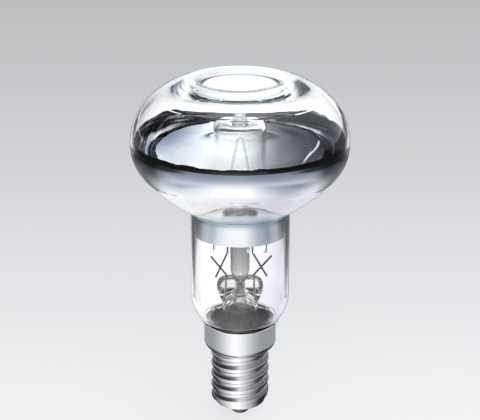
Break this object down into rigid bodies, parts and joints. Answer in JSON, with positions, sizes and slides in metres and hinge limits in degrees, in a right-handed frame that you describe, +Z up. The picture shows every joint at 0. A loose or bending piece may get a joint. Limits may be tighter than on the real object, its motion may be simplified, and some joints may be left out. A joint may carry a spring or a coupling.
{
  "type": "reflector bulb",
  "caption": "Reflector light bulb with a mirrored bowl, a clear face and neck, a halogen capsule on a glass stem and a small screw cap.",
  "frame": {"origin": "middle of the end contact, on the axis of the bulb", "axes": "+Z up the axis from the end contact to the face, +X to the right of the capsule's flat seal, -Y towards the viewer"},
  "size_m": [0.05, 0.05, 0.0834],
  "materials": {
    "bulb_glass": "clear, blown",
    "mirror_film": "bright aluminium film",
    "cap_sheet": "rolled sheet, satin",
    "insulator_glass": "black pressed glass",
    "contact_plate": "stamped, tinned",
    "solder": "dull solder",
    "cement": "baked, matt",
    "tube_glass": "drawn, satin",
    "stem_glass": "pressed, fire finished",
    "capsule_glass": "hard glass, fire finished",
    "nickel_wire": "drawn nickel",
    "seal_wire": "copper-coated",
    "molybdenum": "rolled foil and drawn wire",
    "tungsten": "coiled wire",
    "copper_wire": "bare copper"
  },
  "bodies": {
    "root": {"glass_envelope": "bulb_glass", "reflector_mirror": "mirror_film", "screw_shell": "cap_sheet", "glass_insulator": "insulator_glass", "contact_disc": "contact_plate", "contact_solder": "solder", "basing_cement": "cement", "exhaust_tube": "tube_glass", "glass_stem": "stem_glass", "halogen_capsule": "capsule_glass", "stem_wire_left": "nickel_wire", "stem_wire_right": "nickel_wire", "capsule_wire_left": "molybdenum", "capsule_wire_right": "molybdenum", "seal_wire_left": "seal_wire", "seal_wire_right": "seal_wire", "foil_left": "molybdenum", "foil_right": "molybdenum", "filament_lead_left": "molybdenum", "filament_lead_right": "molybdenum", "filament": "tungsten", "contact_tail": "copper_wire", "shell_tail": "copper_wire"}
  },
  "joints": []
}
